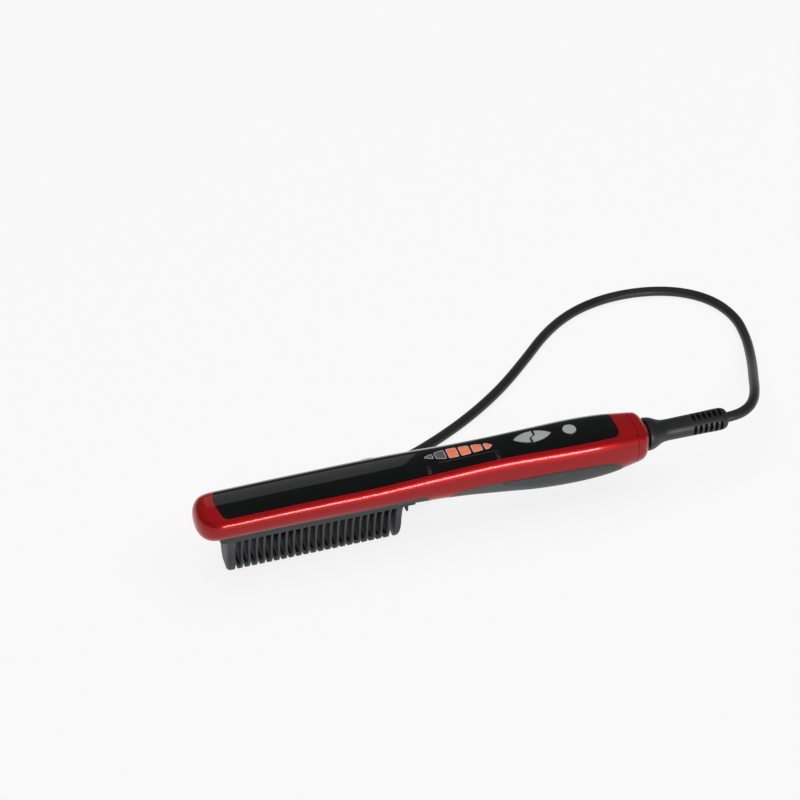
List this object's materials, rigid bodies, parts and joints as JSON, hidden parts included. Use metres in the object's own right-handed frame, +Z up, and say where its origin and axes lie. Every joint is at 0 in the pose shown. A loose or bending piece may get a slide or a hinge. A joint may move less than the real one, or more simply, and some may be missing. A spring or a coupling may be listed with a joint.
{
  "type": "heated hair straightening comb",
  "caption": "Electric hair straightening comb with a slim red body, guarded heating comb, push buttons, level lights and a swivel cord with a two-pin plug.",
  "frame": {"origin": "centre of the bounding box without the free cord, on the surface that the tooth tips stand on", "axes": "+X along the body from the nose to the cord, +Z up with the teeth pointing down, +Y across"},
  "size_m": [0.4137, 0.2009, 0.0541],
  "materials": {
    "red_paint": "gloss",
    "black_gloss": "gloss",
    "grip_soft": "satin",
    "pad_dark": "satin",
    "guard_plastic": "satin",
    "comb_coating": "satin",
    "inner_plastic": "matte",
    "ceramic_white": "matte",
    "amber_film": "gloss",
    "steel": "satin",
    "board_green": "gloss",
    "chip_black": "matte",
    "silver_key": "satin",
    "window_lit": "gloss",
    "window_dim": "gloss",
    "brass": "satin",
    "wire_red": "satin",
    "cord_black": "satin",
    "led_white": "gloss",
    "pin_nickel": "gloss"
  },
  "bodies": {
    "handle": {"body_shell": "red_paint", "rear_collar": "red_paint", "top_panel": "black_gloss", "grip_cover": "grip_soft", "grip_pads": "pad_dark", "comb_guard": "guard_plastic", "heating_comb": "comb_coating", "chassis": "inner_plastic", "heater_stones": "ceramic_white", "insulation_film": "amber_film", "heater_clamp": "steel", "thermal_fuse": "steel", "temperature_sensor": "ceramic_white", "control_board": "board_green", "tact_switches": "chip_black", "indicator_leds": "led_white", "power_triac": "chip_black", "microcontroller": "chip_black", "supply_capacitor": "steel", "mains_terminals": "ceramic_white", "level_window_1": "window_dim", "level_window_2": "window_dim", "level_window_3": "window_lit", "level_window_4": "window_lit", "level_window_5": "window_lit", "level_window_6": "window_lit", "comb_screws": "steel", "board_screws": "steel", "grip_screws": "steel", "heater_leads": "wire_red", "supply_leads": "wire_red", "swivel_socket": "inner_plastic", "contact_brushes": "brass", "power_cord": "cord_black", "plug_lead": "cord_black", "cord_hank": "cord_black", "cord_tie": "cord_black", "plug_body": "cord_black", "plug_pins": "pin_nickel"},
    "power_button": {"power_button": "silver_key"},
    "temperature_down_key": {"temperature_down_key": "silver_key"},
    "temperature_up_key": {"temperature_up_key": "silver_key"},
    "cord_swivel": {"swivel_core": "inner_plastic", "contact_rings": "brass", "strain_relief": "cord_black"}
  },
  "joints": [
    {"name": "press_power", "type": "slide", "parent": "handle", "child": "power_button", "axis": [0, 0, -1], "range_m": [0, 0.0004], "stiffness_N_per_m": 800},
    {"name": "press_temperature_down", "type": "slide", "parent": "handle", "child": "temperature_down_key", "axis": [0, 0, -1], "range_m": [0, 0.0004], "stiffness_N_per_m": 800},
    {"name": "press_temperature_up", "type": "slide", "parent": "handle", "child": "temperature_up_key", "axis": [0, 0, -1], "range_m": [0, 0.0004], "stiffness_N_per_m": 800},
    {"name": "turn_cord", "type": "hinge", "parent": "handle", "child": "cord_swivel", "pos_m": [0.1195, 0, 0.0363], "axis": [1, 0, 0], "continuous": true}
  ]
}
